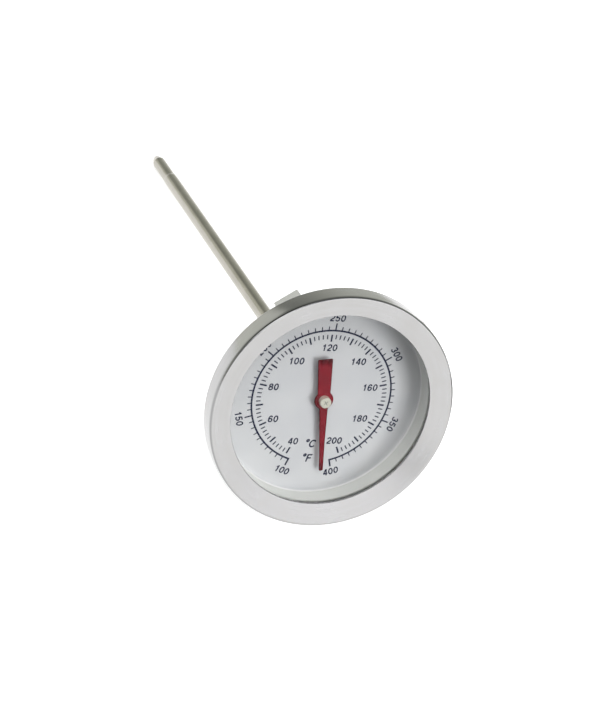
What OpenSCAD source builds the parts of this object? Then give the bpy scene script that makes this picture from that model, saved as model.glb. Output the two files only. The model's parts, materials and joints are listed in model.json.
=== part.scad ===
// Bimetal dial thermometer with a pan clip. The head is drawn with its dial facing +Z, its
// 12 o'clock at +Y and its stem running down -Z, then laid down to rest on the bezel's rear
// edge and the stem's end. Depths are measured back from the foremost edge of the bezel.

/* [Head] */
// Outer radius of the bezel ring
bezel_r = 28.9; // [28.5:0.1:31]
// Depth of the bezel ring, from its front edge to the back of its crimped lip
bezel_depth = 5.5; // [5.3:0.1:6]
// Radius of the window in the bezel
window_r = 23.7; // [23:0.1:24]
// How far the bezel's face falls from its outer edge to the window
face_drop = 1.45; // [1.2:0.05:1.5]
// Depth from the bezel's front edge to the back of the case
head_depth = 14.2; // [14:0.1:16]
// Depth from the bezel's front edge to the face of the dial
dial_depth = 9.4; // [9.3:0.1:9.6]

/* [Stem] */
// Radius of the stem
stem_r = 2; // [1.9:0.05:2.1]
// Depth from the bezel's front edge to the end of the stem
stem_end = 165.3; // [150:0.5:180]
// Radius of the slimmer sensing end
sensing_r = 1.85; // [1.75:0.05:1.85]
// Length of the slimmer sensing end, with its nose
sensing_length = 17.8; // [15:0.1:20]

/* [Pointer] */
// Length of the pointer from its axis to its tip
pointer_length = 18.1; // [16:0.1:20]
// Length of the pointer's tail from its axis
tail_length = 10.2; // [8:0.1:12]
// Angle at which the pointer stands, clockwise from 12 o'clock
pointer_angle = 173.2; // [0:0.1:360]

/* [Clip] */
// Depth of the clip's eye, at its end nearest to the head
clip_depth = 33.9; // [32:0.1:60]
// Angle of the clip's plate about the stem, anticlockwise from 3 o'clock
clip_angle = 34.7; // [0:0.1:360]
// Reach of the clip's plate from the stem's axis
clip_reach = 9.9; // [9:0.1:12]
// Clear gap in the clip for a pan's wall
clip_gap = 7; // [6.5:0.1:8]

/* [Hidden] */

$fn = 96;
arc_steps = 6;
fit_gap = 0.05;

// sheet thicknesses
bezel_t = 0.6;
case_t = 0.5;
clip_t = 0.6;

// bezel and glass
face_round = 0.6;
lip_round = 0.5;
lip_r = bezel_r - 2.7;
face_edge_r = bezel_r - face_round;
face_slope = atan(face_drop / (face_edge_r - window_r));
lens_r = bezel_r - 1.5;
lens_front = 2.3;
lens_back = 4.1;
lens_chamfer = 0.2;
gasket_r = bezel_r - bezel_t - fit_gap;
gasket_front_r = window_r + 0.8;

// case
flange_front = bezel_depth - bezel_t - case_t;
flange_back = bezel_depth - bezel_t;
flange_r = bezel_r - bezel_t - 0.1;
case_r = bezel_r - 3.9;
corner_r = 4.4;
corner_depth = head_depth - corner_r;
floor_depth = head_depth - case_t;

// dial and what holds it
dial_t = 0.4;
rim_t = 0.4;
rim_r = case_r - case_t - 0.1;
rim_front = dial_depth - 0.85;
rim_fillet = 0.6;
dial_hole_r = 1.2;
carrier_t = 0.5;
carrier_rim_r = 22;
carrier_top_r = 16;
carrier_foot_r = 10;
carrier_hole_r = 6;

// stem
stem_top = 11.6;
tube_wall = 0.4;
sensing_start = stem_end - sensing_length;
swage = 1;
nose_r = 1.2;
shoulder = stem_end - 4.1;
seal_t = 0.5;
washer_t = 0.6;
flange_outer_r = 5.2;
spigot_r = 3;
ferrule_back = head_depth + seal_t;
ferrule_end = ferrule_back + 5.8;

// movement
shaft_r = 0.5;
bush_r = 1.3;
bush_front = 6.2;
pointer_front = 7.7;
pointer_t = 0.25;
pointer_back = pointer_front + pointer_t;
neck_r = 0.8;
hub_r = 2.1;
helix_r = 1.1;
strip_t = 0.25;
strip_w = 1.5;
helix_pitch = 2.2;
helix_back = shoulder - 6;
helix_turns = 16;
helix_steps = 24;
helix_front = helix_back - helix_turns * helix_pitch - strip_w;
collar_length = 3.5;
collar_back = helix_front - 0.15;

// clip
sleeve_r = stem_r + 0.4;
sleeve_rim_r = sleeve_r + 0.45;
sleeve_rim_t = 0.4;
sleeve_slit = 0.6;
eye_r = sleeve_r + fit_gap + 0.02;
eye_length = 14.2;
eye_play = 0.3;
plate_length = 18.3;
leaf_length = 14;
leaf_start = 3.9;
plate_start = 3.2;
lip_angle = 50;
lip_bend_r = 2;

// The stem's end and the bezel's rear edge touch the surface together at this lean.
touch_rise = bezel_r - lip_round - sensing_r;
touch_run = shoulder - bezel_depth + lip_round;
lean = acos(-lip_round / norm([touch_rise, touch_run])) - atan2(touch_run, touch_rise);
rest_height = sensing_r * cos(lean) + shoulder * sin(lean);
front_y = -(bezel_r - face_round) * sin(lean) + face_round * cos(lean) - face_round;
back_y = (stem_end - nose_r) * cos(lean) + nose_r;

// Points of an arc about [x, y], from one angle to another
function arc(x, y, r, from, to) =
    [for (i = [0:arc_steps]) let (a = from + (to - from) * i / arc_steps) [x + r * cos(a), y + r * sin(a)]];

// Depth of the bezel face's underside at a radius
function under_face(r) =
    (face_edge_r - r) * tan(face_slope) + bezel_t / cos(face_slope);

// A turned piece, from points of [radius, depth]
module turned(points) {
    rotate_extrude() polygon([for (p = points) [p[0], -p[1]]]);
}

// A round bar between two depths
module bar(r, front, back) {
    translate([0, 0, -back]) cylinder(r = r, h = back - front);
}

// A plain ring between two depths
module ring(outer_r, inner_r, front, back) {
    translate([0, 0, -back]) difference() {
        cylinder(r = outer_r, h = back - front);
        translate([0, 0, -1]) cylinder(r = inner_r, h = back - front + 2);
    }
}

// Lays the upright drawing down on the surface, centred over its footprint
module laid_down() {
    translate([0, -(front_y + back_y) / 2, rest_height]) rotate([90 - lean, 0, 0]) children();
}

// Turns and places the clip's own frame: x along the plate, y out of it, z along the stem
module on_clip() {
    laid_down() rotate([0, 0, clip_angle]) translate([0, 0, -clip_depth]) children();
}

module bezel_ring() {
    color("gainsboro") laid_down() turned(concat(
        [[window_r, face_drop]],
        arc(face_edge_r, face_round, face_round, -90 - face_slope, 0),
        arc(bezel_r - lip_round, bezel_depth - lip_round, lip_round, 0, 90),
        [[lip_r, bezel_depth], [lip_r, flange_back], [bezel_r - bezel_t, flange_back],
            [bezel_r - bezel_t, under_face(bezel_r - bezel_t)],
            [window_r, under_face(window_r)]]
    ));
}

module lens() {
    color("lightcyan", 0.3) laid_down() turned([
        [0, lens_front], [lens_r - lens_chamfer, lens_front], [lens_r, lens_front + lens_chamfer],
        [lens_r, lens_back - lens_chamfer], [lens_r - lens_chamfer, lens_back], [0, lens_back]
    ]);
}

// A soft channel around the glass, under the bezel's sloping face
module lens_gasket() {
    gap = 0.02;
    color("whitesmoke") laid_down() turned([
        [gasket_front_r, lens_front], [lens_r, lens_front], [lens_r, lens_back],
        [case_r, lens_back], [case_r, flange_front], [gasket_r, flange_front],
        [gasket_r, under_face(gasket_r) + gap], [gasket_front_r, under_face(gasket_front_r) + gap]
    ]);
}

// Drawn cup with a flange that the bezel's lip is crimped under
module case() {
    color("silver") laid_down() turned(concat(
        [[flange_r, flange_front], [flange_r, flange_back], [case_r, flange_back]],
        arc(case_r - corner_r, corner_depth, corner_r, 0, 90),
        [[spigot_r + fit_gap, head_depth], [spigot_r + fit_gap, floor_depth]],
        arc(case_r - corner_r, corner_depth, corner_r - case_t, 90, 0),
        [[case_r - case_t, flange_front]]
    ));
}

module spacer_ring() {
    color("darkkhaki") laid_down() ring(rim_r, rim_r - rim_t, lens_back, rim_front);
}

// Shallow dish whose rim stands up against the spacer ring
module dial_plate() {
    inner_r = rim_r - rim_t;
    color("lavender") laid_down() turned(concat(
        [[dial_hole_r, dial_depth + dial_t], [dial_hole_r, dial_depth]],
        arc(inner_r - rim_fillet, dial_depth - rim_fillet, rim_fillet, 90, 0),
        [[inner_r, rim_front], [rim_r, rim_front], [rim_r, dial_depth + dial_t]]
    ));
}

// Pressed ring that stands on the case's floor and carries the dial
module dial_carrier() {
    top = dial_depth + dial_t;
    color("gray") laid_down() turned([
        [carrier_rim_r, top], [carrier_rim_r, top + carrier_t], [carrier_top_r, top + carrier_t],
        [carrier_foot_r, floor_depth], [carrier_hole_r, floor_depth],
        [carrier_hole_r, floor_depth - carrier_t], [carrier_foot_r - carrier_t, floor_depth - carrier_t],
        [carrier_top_r - carrier_t, top]
    ]);
}

module back_washer() {
    color("silver") laid_down()
        ring(flange_outer_r, spigot_r + fit_gap, floor_depth - washer_t, floor_depth);
}

module ferrule_seal() {
    color("dimgray") laid_down() ring(flange_outer_r - 0.3, spigot_r + fit_gap, head_depth, ferrule_back);
}

// Stepped bush that passes through the case's floor and is staked over the washer
module stem_ferrule() {
    bore_r = stem_r + 0.01;
    staked_r = spigot_r + 0.4;
    staked_front = floor_depth - washer_t - 0.3;
    end_round = 0.4;
    color("silver") laid_down() turned(concat(
        [[bore_r, staked_front], [staked_r, staked_front], [staked_r, floor_depth - washer_t],
            [spigot_r, floor_depth - washer_t], [spigot_r, ferrule_back],
            [flange_outer_r, ferrule_back], [flange_outer_r, ferrule_back + 1],
            [spigot_r + 0.4, ferrule_back + 1]],
        arc(stem_r + 0.8 - end_round, ferrule_end - end_round, end_round, 0, 90),
        [[bore_r, ferrule_end]]
    ));
}

// Thin tube, swaged down over its sensing end
module stem_tube() {
    color("silver") laid_down() turned([
        [stem_r - tube_wall, stem_top], [stem_r, stem_top], [stem_r, sensing_start],
        [sensing_r, sensing_start + swage], [sensing_r, shoulder],
        [sensing_r - tube_wall, shoulder], [sensing_r - tube_wall, sensing_start + swage],
        [stem_r - tube_wall, sensing_start]
    ]);
}

// Solid nose welded into the tube's end
module tip_plug() {
    spigot = sensing_r - tube_wall - 0.01;
    nose_tilt = atan((sensing_r - nose_r) / (stem_end - nose_r - shoulder));
    color("silver") laid_down() turned(concat(
        [[0, shoulder - 4.5], [spigot, shoulder - 4.5], [spigot, shoulder], [sensing_r, shoulder]],
        arc(0, stem_end - nose_r, nose_r, nose_tilt, 90)
    ));
}

// Stub that ties the helix's far end to the nose
module helix_anchor() {
    stub_r = helix_r - strip_t / 2 - 0.02;
    flange_front = helix_back + 0.02;
    color("darkgoldenrod") laid_down() turned([
        [0, helix_back - strip_w], [stub_r, helix_back - strip_w], [stub_r, flange_front],
        [helix_r + strip_t, flange_front], [helix_r + strip_t, shoulder - 4.5], [0, shoulder - 4.5]
    ]);
}

// Flat bimetal strip wound into a helix: rings of four corners, swept along the coil
module bimetal_helix() {
    rings = helix_turns * helix_steps;
    inner = helix_r - strip_t / 2;
    outer = helix_r + strip_t / 2;
    corners = [[inner, 0], [outer, 0], [outer, strip_w], [inner, strip_w]];
    points = [for (i = [0:rings], c = corners)
        let (a = 360 * i / helix_steps)
        [c[0] * cos(a), c[0] * sin(a), helix_pitch * i / helix_steps + c[1] - helix_back]];
    sides = [for (i = [0:rings - 1], c = [0:3])
        [4 * i + c, 4 * i + (c + 1) % 4, 4 * i + 4 + (c + 1) % 4, 4 * i + 4 + c]];
    ends = [[3, 2, 1, 0], [for (c = [0:3]) 4 * rings + c]];
    color("peru") laid_down() polyhedron(points = points, faces = concat(sides, ends));
}

// Collar on the shaft that the helix's near end is welded to
module helix_collar() {
    color("darkgoldenrod") laid_down()
        ring(helix_r + strip_t / 2, shaft_r + 0.01, collar_back - collar_length, collar_back);
}

module pointer_shaft() {
    color("gray") laid_down() bar(shaft_r, bush_front + 0.2, collar_back);
}

// Flanged bush in the mouth of the stem
module upper_bearing() {
    flange_t = 0.4;
    color("goldenrod") laid_down() turned([
        [shaft_r + fit_gap, stem_top - flange_t], [stem_r - 0.1, stem_top - flange_t],
        [stem_r - 0.1, stem_top], [stem_r - tube_wall - 0.01, stem_top],
        [stem_r - tube_wall - 0.01, stem_top + 4], [shaft_r + fit_gap, stem_top + 4]
    ]);
}

// Plain bush that steadies the shaft inside the stem, a share of the way down
module guide_bush(share) {
    length = 2;
    front = stem_top + share * (collar_back - collar_length - stem_top);
    color("goldenrod") laid_down()
        ring(stem_r - tube_wall - 0.01, shaft_r + fit_gap, front, front + length);
}
module guide_bush_1() {
    guide_bush(0.5);
}
module guide_bush_2() {
    guide_bush(0.95);
}

// Flat pointer, with a round hub, a tapering needle and a broad square-ended tail
module pointer() {
    hub_half = 0.92;
    waist_at = 11.6;
    waist_half = 0.45;
    tip_half = 0.3;
    tail_hub_half = 1.3;
    tail_end_half = 1.6;
    needle = [[-hub_half, 0], [-waist_half, waist_at], [-tip_half, pointer_length],
        [tip_half, pointer_length], [waist_half, waist_at], [hub_half, 0]];
    tail = [[-tail_hub_half, 0], [tail_hub_half, 0], [tail_end_half, -tail_length],
        [-tail_end_half, -tail_length]];
    color("crimson") laid_down() rotate([0, 0, -pointer_angle]) translate([0, 0, -pointer_back])
        difference() {
            union() {
                cylinder(r = hub_r, h = pointer_t);
                linear_extrude(pointer_t) polygon(needle);
                linear_extrude(pointer_t) polygon(tail);
            }
            translate([0, 0, -1]) cylinder(r = neck_r + 0.01, h = pointer_t + 2);
        }
}

// Bush that the pointer is riveted to, pressed on the shaft
module pointer_bush() {
    bore_r = shaft_r + 0.01;
    color("beige") laid_down() turned([
        [0, bush_front], [bush_r - 0.15, bush_front], [bush_r, bush_front + 0.15],
        [bush_r, pointer_front], [neck_r, pointer_front], [neck_r, pointer_back],
        [neck_r + 0.4, pointer_back], [neck_r + 0.4, pointer_back + 0.5],
        [bore_r, pointer_back + 0.5], [bore_r, bush_front + 0.19], [0, bush_front + 0.19]
    ]);
}

// Split spring sleeve that grips the stem, with a rolled rim at each end
module clip_sleeve() {
    length = eye_length + 2 * (eye_play + sleeve_rim_t);
    color("silver") on_clip() translate([0, 0, eye_play + sleeve_rim_t]) difference() {
        union() {
            ring(sleeve_r, stem_r + fit_gap, 0, length);
            ring(sleeve_rim_r, stem_r + fit_gap, 0, sleeve_rim_t);
            ring(sleeve_rim_r, stem_r + fit_gap, length - sleeve_rim_t, length);
        }
        translate([-sleeve_slit / 2, -sleeve_rim_r - 1, -length - 1])
            cube([sleeve_slit, sleeve_rim_r + 1, length + 2]);
    }
}

// One strip of sheet: a rolled eye, a plate, a hairpin bend and a leaf with a turned-out lip
module pan_clip() {
    outer_r = eye_r + clip_t;
    leaf_y = eye_r - clip_gap - clip_t;
    bend_y = eye_r - clip_gap / 2;
    leaf_w = clip_reach - leaf_start;
    color("gainsboro") on_clip() union() {
        difference() {
            ring(outer_r, eye_r, 0, eye_length);
            translate([0, -0.9, -eye_length - 1]) cube([outer_r + 1, outer_r + 2, eye_length + 2]);
        }
        translate([0, eye_r, -eye_length]) cube([clip_reach, clip_t, eye_length]);
        translate([plate_start, eye_r, -plate_length])
            cube([clip_reach - plate_start, clip_t, plate_length]);
        translate([leaf_start, bend_y, 0]) rotate([0, 90, 0]) difference() {
            cylinder(r = clip_gap / 2 + clip_t, h = leaf_w);
            translate([0, 0, -1]) cylinder(r = clip_gap / 2, h = leaf_w + 2);
            translate([0, -clip_gap, -1]) cube([clip_gap, 2 * clip_gap, leaf_w + 2]);
        }
        translate([leaf_start, leaf_y, -leaf_length]) cube([leaf_w, clip_t, leaf_length]);
        translate([leaf_start, leaf_y - lip_bend_r, -leaf_length]) rotate([0, 90, 0])
            rotate([0, 0, 90 - lip_angle])
                rotate_extrude(angle = lip_angle) translate([lip_bend_r, 0]) square([clip_t, leaf_w]);
    }
}

case();
bezel_ring();
lens();
lens_gasket();
spacer_ring();
dial_plate();
dial_carrier();
back_washer();
ferrule_seal();
stem_ferrule();
stem_tube();
tip_plug();
helix_anchor();
bimetal_helix();
helix_collar();
pointer_shaft();
upper_bearing();
guide_bush_1();
guide_bush_2();
pointer();
pointer_bush();
clip_sleeve();
pan_clip();
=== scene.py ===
import json
import math

import bmesh
import bpy
import numpy as np
from mathutils import Matrix, Vector


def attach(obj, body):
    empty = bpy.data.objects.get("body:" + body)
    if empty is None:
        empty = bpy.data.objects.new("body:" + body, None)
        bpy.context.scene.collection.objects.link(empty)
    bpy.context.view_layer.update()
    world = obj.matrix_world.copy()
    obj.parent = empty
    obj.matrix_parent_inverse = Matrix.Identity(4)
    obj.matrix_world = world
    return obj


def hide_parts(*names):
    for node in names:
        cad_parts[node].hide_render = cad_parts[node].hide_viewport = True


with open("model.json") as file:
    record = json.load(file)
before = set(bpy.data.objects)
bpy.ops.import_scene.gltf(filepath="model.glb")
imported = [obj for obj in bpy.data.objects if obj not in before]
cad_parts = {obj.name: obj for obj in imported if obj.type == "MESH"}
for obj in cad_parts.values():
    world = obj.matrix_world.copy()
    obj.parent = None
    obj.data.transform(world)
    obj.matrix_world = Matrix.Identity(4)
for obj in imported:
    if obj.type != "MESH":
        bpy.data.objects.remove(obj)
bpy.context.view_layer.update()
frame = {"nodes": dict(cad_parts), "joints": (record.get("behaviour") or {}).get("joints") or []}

# ---- Camera ---------------------------------------------------------------------------------
# A long lens looks down at the dial from its upper left, and is rolled, so that the stem runs
# away to the upper left. Every turned part shares the axis of the pointer's joint, so places are
# given along 3 o'clock and 12 o'clock and by depth behind the bezel's front, in millimetres.
MM = 0.001
PIVOT_DEPTH = 7.7
pointer_joint = next(j for j in frame["joints"] if j["name"] == "pointer_turn")
stemward = np.array(pointer_joint["axis"], float)
threeward = np.array([1.0, 0.0, 0.0])
twelveward = np.cross(threeward, stemward)
face_centre = np.array(pointer_joint["pos_m"], float) - PIVOT_DEPTH * MM * stemward


def place(x, y, depth):
    """Points in the row frame, in metres: the centre of the bezel's front plus x along 3 o'clock,
    y along 12 o'clock and the depth along the stem."""
    x, y, depth = np.broadcast_arrays(x, y, depth)
    steps = x[..., None] * threeward + y[..., None] * twelveward + depth[..., None] * stemward
    return face_centre + MM * steps


AIM_X, AIM_Y = -10.33, 14.67
CAMERA_DISTANCE = 480.99
CAMERA_AZIMUTH = math.radians(23.278)
CAMERA_FALL = math.radians(32.613)
CAMERA_ROLL = math.radians(13.534)
LENS_MM = 110.36

forward = Vector((
    math.sin(CAMERA_AZIMUTH) * math.cos(CAMERA_FALL),
    math.cos(CAMERA_AZIMUTH) * math.cos(CAMERA_FALL),
    -math.sin(CAMERA_FALL),
))
level = forward.cross(Vector((0, 0, 1))).normalized()
rightward = Matrix.Rotation(-CAMERA_ROLL, 3, forward) @ level
upward = rightward.cross(forward)
aim = Vector(place(AIM_X, AIM_Y, 0.0))
camera = bpy.data.objects.new("camera", bpy.data.cameras.new("camera"))
camera.data.lens = LENS_MM
camera.data.clip_start = 0.01
stance = Matrix((rightward, upward, -forward)).transposed().to_4x4()
camera.matrix_world = Matrix.Translation(aim - CAMERA_DISTANCE * MM * forward) @ stance
bpy.context.scene.collection.objects.link(camera)
bpy.context.scene.camera = camera

# ---- Case -----------------------------------------------------------------------------------
# The head's back is a cup, drawn from stainless sheet and left satin from its forming. A flange
# round its mouth is what the bezel's lip is crimped under.
ROUND_STEPS = 256
CORNER_STEPS = 6


def rounded(outline):
    """Closed outline of (radius, depth) points. A corner given as (radius, depth, rounding) becomes
    an arc that touches both of its sides, rounding / tan(half the corner's angle) from the corner."""
    points = []
    for i, corner in enumerate(outline):
        here = np.array(corner[:2], float)
        if len(corner) == 2:
            points.append(here[None])
            continue
        before = np.array(outline[i - 1][:2], float) - here
        after = np.array(outline[(i + 1) % len(outline)][:2], float) - here
        before /= np.linalg.norm(before)
        after /= np.linalg.norm(after)
        half = math.acos(np.clip(before @ after, -1, 1)) / 2
        middle = (before + after) / np.linalg.norm(before + after)
        centre = here + middle * corner[2] / math.sin(half)
        reach = corner[2] / math.tan(half)
        start = here + before * reach - centre
        end = here + after * reach - centre
        sweep = math.pi - 2 * half
        share = np.linspace(0, 1, CORNER_STEPS + 1)[:, None]
        bend = (np.sin((1 - share) * sweep) * start + np.sin(share * sweep) * end) / math.sin(sweep)
        guard = min(0.5 * corner[2], 0.15)
        points.append(np.concatenate([
            [here + before * (reach + guard)], centre + bend, [here + after * (reach + guard)],
        ]))
    return np.concatenate(points)


def solid(name, grid, smooth=True):
    """A closed mesh from a grid of points that joins up both ways. Points that fall together, as on
    the axis, are merged, and the faces are turned outwards."""
    rows, columns = grid.shape[:2]
    index = np.arange(rows * columns).reshape(rows, columns)
    along = np.roll(index, -1, axis=0)
    faces = np.stack([index, along, np.roll(along, -1, axis=1), np.roll(index, -1, axis=1)], axis=-1)
    mesh = bpy.data.meshes.new(name)
    mesh.from_pydata(grid.reshape(-1, 3), [], faces.reshape(-1, 4))
    return closed(name, mesh, smooth)


def closed(name, mesh, smooth=True):
    """The object of a mesh, once its doubled points are merged and its faces are turned outwards."""
    shell = bmesh.new()
    shell.from_mesh(mesh)
    bmesh.ops.remove_doubles(shell, verts=shell.verts, dist=1e-7)
    bmesh.ops.dissolve_degenerate(shell, edges=shell.edges, dist=1e-8)
    bmesh.ops.recalc_face_normals(shell, faces=shell.faces)
    shell.to_mesh(mesh)
    shell.free()
    mesh.polygons.foreach_set("use_smooth", np.full(len(mesh.polygons), smooth))
    thing = bpy.data.objects.new(name, mesh)
    bpy.context.scene.collection.objects.link(thing)
    return thing


def turned(name, outline, steps=ROUND_STEPS):
    """A turned piece: each point of the outline goes round the axis, at radius times cosine and
    sine of the angle, and at its own depth."""
    points = rounded(outline)
    angle = np.linspace(0, 2 * np.pi, steps, endpoint=False)
    radius, depth = points[:, :1], points[:, 1:]
    return solid(name, place(radius * np.cos(angle), radius * np.sin(angle), depth))


def fit(thing, finish, body, slot, *nodes):
    """Gives a piece its finish, lets it ride on its body, and hides the CAD nodes that it stands
    for. The slot is not used."""
    thing.data.materials.append(finish.material)
    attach(thing, body)
    if nodes:
        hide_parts(*nodes)


class Value:
    """A number that comes out of a node. Sums, products and powers of values add Math nodes."""

    def __init__(self, finish, socket):
        self.finish = finish
        self.socket = socket

    def math(self, operation, other):
        return self.finish.node("ShaderNodeMath", {"operation": operation}, {0: self, 1: other})

    def __add__(self, other):
        return self.math("ADD", other)

    __radd__ = __add__

    def __sub__(self, other):
        return self.math("SUBTRACT", other)

    def __rsub__(self, other):
        return self.finish.node("ShaderNodeMath", {"operation": "SUBTRACT"}, {0: other, 1: self})

    def __mul__(self, other):
        return self.math("MULTIPLY", other)

    __rmul__ = __mul__

    def __truediv__(self, other):
        return self.math("DIVIDE", other)

    def __pow__(self, other):
        return self.math("POWER", other)


class Finish:
    """The node material of one finish. Constants sit on the shader's own sockets."""

    def __init__(self, name, **constants):
        self.material = bpy.data.materials.new(name)
        self.material.use_nodes = True
        self.tree = self.material.node_tree
        self.shader = self.tree.nodes["Principled BSDF"]
        for socket, value in constants.items():
            self.shader.inputs[socket.replace("_", " ")].default_value = value

    def node(self, kind, settings, sockets, output=0):
        """Adds a node, makes its settings and then fills its sockets with values or links."""
        node = self.tree.nodes.new(kind)
        for key, value in settings.items():
            setattr(node, key, value)
        for key, value in sockets.items():
            if isinstance(value, Value):
                self.tree.links.new(value.socket, node.inputs[key])
            else:
                node.inputs[key].default_value = value
        return Value(self, node.outputs[output])

    def feed(self, socket, value):
        """Links a value to one of the shader's sockets."""
        self.tree.links.new(value.socket, self.shader.inputs[socket])

    def mix(self, factor, first, second):
        """A colour between two colours."""
        first, second = [c if isinstance(c, Value) else (*c, 1.0) for c in (first, second)]
        sockets = {0: factor, 6: first, 7: second}
        return self.node("ShaderNodeMix", {"data_type": "RGBA"}, sockets, output=2)

    def on_axis(self):
        """Place along 3 o'clock and 12 o'clock and depth, in millimetres, from Object coordinates."""
        place_of = self.node("ShaderNodeTexCoord", {}, {}, output="Object")
        tilt = math.atan2(twelveward[2], twelveward[1])
        local = self.node("ShaderNodeMapping", {"vector_type": "TEXTURE"}, {
            "Vector": place_of,
            "Location": tuple(face_centre),
            "Rotation": (tilt, 0.0, 0.0),
            "Scale": (MM, MM, MM),
        })
        x, y, front = [self.node("ShaderNodeSeparateXYZ", {}, {0: local}, output=i) for i in range(3)]
        return x, y, -1 * front

    def vector(self, x, y, z):
        """A vector with these three parts."""
        return self.node("ShaderNodeCombineXYZ", {}, {0: x, 1: y, 2: z})

    def noise(self, where, scale, detail=2.0, roughness=0.5):
        """Soft cloudy noise about 0.5, from 0 to 1."""
        return self.node("ShaderNodeTexNoise", {}, {
            "Vector": where, "Scale": scale, "Detail": detail, "Roughness": roughness,
        })

    def step(self, value, low, high, least=0.0, most=1.0):
        """A smooth step from least, where value is low, to most, where it is high."""
        sockets = {"Value": value, 1: low, 2: high, 3: least, 4: most}
        return self.node("ShaderNodeMapRange", {"interpolation_type": "SMOOTHSTEP"}, sockets)

    def bump(self, height, depth_mm, strength=1.0):
        """Raises the surface by height times the depth."""
        sockets = {"Height": height, "Distance": depth_mm * MM, "Strength": strength}
        self.feed("Normal", self.node("ShaderNodeBump", {}, sockets))


# Grains to each unit round the axis, times the grain's size, for metal that is drawn lengthwise.
LONG_GRAIN = 0.96


def metal(name, colour, dark, roughness, grain, grain_mm, grain_depth, metallic=1.0):
    """A bare metal. Its grain is noise that is stretched along the way the metal was turned, drawn or
    rubbed: round the axis, along it, or both ways for a pressed sheet. The same grain moves the
    roughness, a faint cloud of a darker tone breaks up the colour, and a few fine scratches show in
    the gloss. The finish keeps its tone and roughness, for a piece that changes them in places."""
    finish = Finish(name, Metallic=metallic)
    x, y, depth = finish.on_axis()
    radius = (x * x + y * y) ** 0.5
    east = x / (radius + 0.001)
    north = y / (radius + 0.001)
    if grain == "round":
        line = (radius + depth) / grain_mm
        where = finish.vector(line, east * 1.5, north * 1.5)
        coarse_where = finish.vector(line * 0.12, east * 0.8, north * 0.8)
    elif grain == "long":
        around = LONG_GRAIN / grain_mm
        where = finish.vector(east * around, north * around, depth * 0.05)
        coarse_where = finish.vector(east * around * 0.2, north * around * 0.2, depth * 0.02)
    else:
        where = finish.vector(x / grain_mm, y / grain_mm, depth / grain_mm)
        coarse_where = finish.vector(x * 1.6, y * 1.6, depth * 1.6)
    fine = finish.noise(where, 1.0, detail=3.0, roughness=0.6)
    coarse = finish.noise(coarse_where, 1.0, detail=2.0)
    cloud = finish.noise(finish.vector(x, y, depth), 0.16, detail=3.0)
    run = 0.2 if grain == "long" else 3.0
    crossed = finish.vector(x * 0.5 + y * 4.0, y * 0.5 - x * 3.0, depth * run)
    scratched = finish.step(finish.noise(crossed, 1.0, detail=4.0), 0.66, 0.72)
    shade = finish.mix((cloud - 0.3) * 1.2 + (fine - 0.5) * 0.7 + (coarse - 0.5) * 0.6, dark, colour)
    finish.tone = shade
    finish.feed("Base Color", shade)
    rubbed = roughness + (fine - 0.5) * (0.5 * roughness) + (cloud - 0.5) * (0.5 * roughness)
    finish.rubbed = rubbed + scratched * 0.06
    finish.feed("Roughness", finish.rubbed)
    finish.bump(fine + coarse * 0.8 - scratched * 0.4, grain_depth)
    return finish


CASE_R = 25.0
CASE_SHEET = 0.5
FLANGE_R = 28.2
FLANGE_FRONT = 4.4
FLANGE_BACK = 4.9
HEAD_DEPTH = 14.2
CASE_CORNER = 4.4
CASE_HOLE = 3.05

case = turned("drawn_case", [
    (FLANGE_R, FLANGE_FRONT, 0.12),
    (FLANGE_R, FLANGE_BACK, 0.12),
    (CASE_R, FLANGE_BACK, 0.3),
    (CASE_R, HEAD_DEPTH, CASE_CORNER),
    (CASE_HOLE, HEAD_DEPTH, 0.1),
    (CASE_HOLE, HEAD_DEPTH - CASE_SHEET, 0.1),
    (CASE_R - CASE_SHEET, HEAD_DEPTH - CASE_SHEET, CASE_CORNER - CASE_SHEET),
    (CASE_R - CASE_SHEET, FLANGE_FRONT, 0.3),
])
case_steel = metal(
    "satin_case_steel", (0.60, 0.60, 0.59), (0.50, 0.50, 0.48), 0.30, "round", 0.09, 0.003,
)
fit(case, case_steel, "head", "case_steel", "case")

# ---- Ferrule, seal and washer ---------------------------------------------------------------
# A stepped stainless bush is turned on a lathe, put through the case's floor on a grey silicone
# washer, and staked over a steel washer inside. Its neck carries the stem.
FERRULE_BORE = 2.01
FERRULE_STAKE_R = 3.4
FERRULE_SHANK_R = 3.0
FERRULE_SHOULDER_R = 5.2
FERRULE_FRONT = 12.8
SHOULDER_FRONT = 14.7
SHOULDER_BACK = 15.7
FERRULE_BACK = 20.5

ferrule = turned("stem_ferrule_turned", [
    (FERRULE_BORE, FERRULE_FRONT, 0.05),
    (FERRULE_STAKE_R, FERRULE_FRONT, 0.12),
    (FERRULE_STAKE_R, FERRULE_FRONT + 0.3),
    (FERRULE_SHANK_R, FERRULE_FRONT + 0.3),
    (FERRULE_SHANK_R, SHOULDER_FRONT),
    (FERRULE_SHOULDER_R, SHOULDER_FRONT, 0.12),
    (FERRULE_SHOULDER_R, SHOULDER_BACK, 0.22),
    (3.4, SHOULDER_BACK, 0.2),
    (2.8, FERRULE_BACK, 0.4),
    (FERRULE_BORE, FERRULE_BACK, 0.06),
], 128)
lathe_steel = metal("turned_stem_steel", (0.62, 0.61, 0.59), (0.52, 0.51, 0.48), 0.24, "round", 0.12, 0.004)
fit(ferrule, lathe_steel, "head", "stem_steel", "stem_ferrule")


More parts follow.
